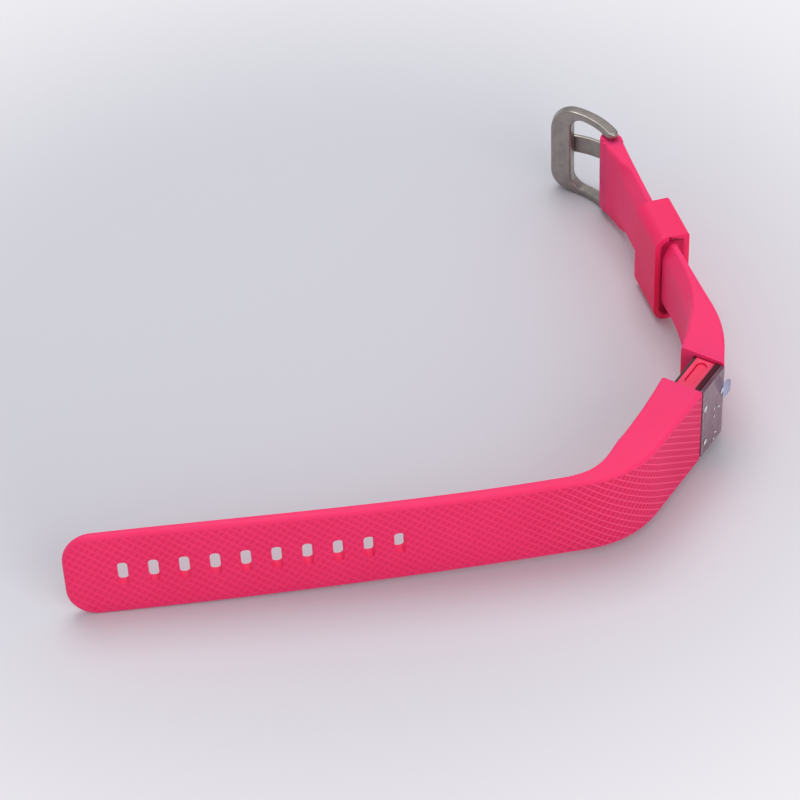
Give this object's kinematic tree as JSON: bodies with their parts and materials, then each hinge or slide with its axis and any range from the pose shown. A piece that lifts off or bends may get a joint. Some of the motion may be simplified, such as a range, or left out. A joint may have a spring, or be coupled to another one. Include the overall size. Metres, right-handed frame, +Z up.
{
  "type": "fitness tracker band",
  "caption": "Open wrist band with a slim display module, a slotted silicone strap, and a short strap with a keeper loop and a pin buckle.",
  "frame": {"origin": "centre of the band's footprint, on the surface it stands on", "axes": "+X along the band at the display, towards the buckle; the display faces -Y; +Z up, across the band's width"},
  "size_m": [0.1772, 0.0936, 0.024],
  "materials": {
    "silicone": "soft matte silicone with a woven relief on its outer face",
    "side_plate": "satin moulded plastic",
    "black_plastic": "semi-gloss black",
    "display_glass": "dark tinted glass",
    "clear_film": "clear protective film",
    "panel": "dark display panel",
    "board": "solder-masked board",
    "chip": "moulded epoxy",
    "cell": "foil pouch",
    "steel": "satin",
    "buckle_metal": "satin gunmetal with polished bevels",
    "gold": "plated"
  },
  "bodies": {
    "module": {"core_housing": "black_plastic", "back_cover": "black_plastic", "display_bezel": "black_plastic", "display_glass": "display_glass", "screen_film": "clear_film", "oled_panel": "panel", "circuit_board": "board", "processor_chip": "chip", "battery_cell": "cell", "vibration_motor": "steel", "tact_switch": "chip", "button_side_plate": "side_plate", "plain_side_plate": "side_plate", "usb_contact_tongue": "black_plastic", "contact_pad_1": "gold", "contact_pad_2": "gold", "contact_pad_3": "gold", "contact_pad_4": "gold", "cover_screw_1": "steel", "cover_screw_2": "steel", "cover_screw_3": "steel", "cover_screw_4": "steel"},
    "side_button": {"side_button": "side_plate"},
    "long_strap": {"long_strap_root": "silicone"},
    "long_strap_end": {"long_strap_tail": "silicone"},
    "buckle_strap": {"buckle_strap_root": "silicone"},
    "buckle_strap_end": {"buckle_strap_tail": "silicone"},
    "keeper": {"keeper_loop": "silicone"},
    "buckle": {"buckle_frame": "buckle_metal", "spring_bar_tube": "steel", "spring_bar_spring": "steel"},
    "tongue": {"buckle_tongue": "buckle_metal"},
    "bar_tip_upper": {"spring_bar_tip_upper": "steel"},
    "bar_tip_lower": {"spring_bar_tip_lower": "steel"}
  },
  "joints": [
    {"name": "button_press", "type": "slide", "parent": "module", "child": "side_button", "axis": [0, 0, -1], "range_m": [0, 0.0004], "stiffness_N_per_m": 600, "springref_m": -0.0002},
    {"name": "long_strap_release", "type": "slide", "parent": "module", "child": "long_strap", "axis": [-1, 0, 0], "range_m": [0, 0.018]},
    {"name": "long_strap_flex", "type": "hinge", "parent": "long_strap", "child": "long_strap_end", "pos_m": [-0.0217, -0.03248, 0.012], "axis": [0, 0, -1], "range_deg": [-20, 40], "stiffness_Nm_per_rad": 0.02},
    {"name": "buckle_strap_release", "type": "slide", "parent": "module", "child": "buckle_strap", "axis": [1, 0, 0], "range_m": [0, 0.008]},
    {"name": "buckle_strap_flex", "type": "hinge", "parent": "buckle_strap", "child": "buckle_strap_end", "pos_m": [0.04759, -0.02434, 0.012], "axis": [0, 0, 1], "range_deg": [-20, 40], "stiffness_Nm_per_rad": 0.02},
    {"name": "keeper_slide", "type": "slide", "parent": "buckle_strap_end", "child": "keeper", "axis": [0.6672, 0.7449, 0], "range_m": [-0.006, 0.014]},
    {"name": "buckle_turn", "type": "hinge", "parent": "buckle_strap_end", "child": "buckle", "pos_m": [0.08237, 0.01445, 0.012], "axis": [0, 0, 1], "range_deg": [-60, 40]},
    {"name": "tongue_turn", "type": "hinge", "parent": "buckle", "child": "tongue", "pos_m": [0.08237, 0.01445, 0.012], "axis": [0, 0, -1], "range_deg": [0, 75]},
    {"name": "bar_tip_upper_press", "type": "slide", "parent": "buckle", "child": "bar_tip_upper", "axis": [0, 0, -1], "range_m": [0, 0.001], "stiffness_N_per_m": 300, "springref_m": -0.0005, "deforming": ["spring_bar_spring"]},
    {"name": "bar_tip_lower_press", "type": "slide", "parent": "buckle", "child": "bar_tip_lower", "axis": [0, 0, 1], "range_m": [0, 0.001], "stiffness_N_per_m": 300, "springref_m": -0.0005}
  ]
}
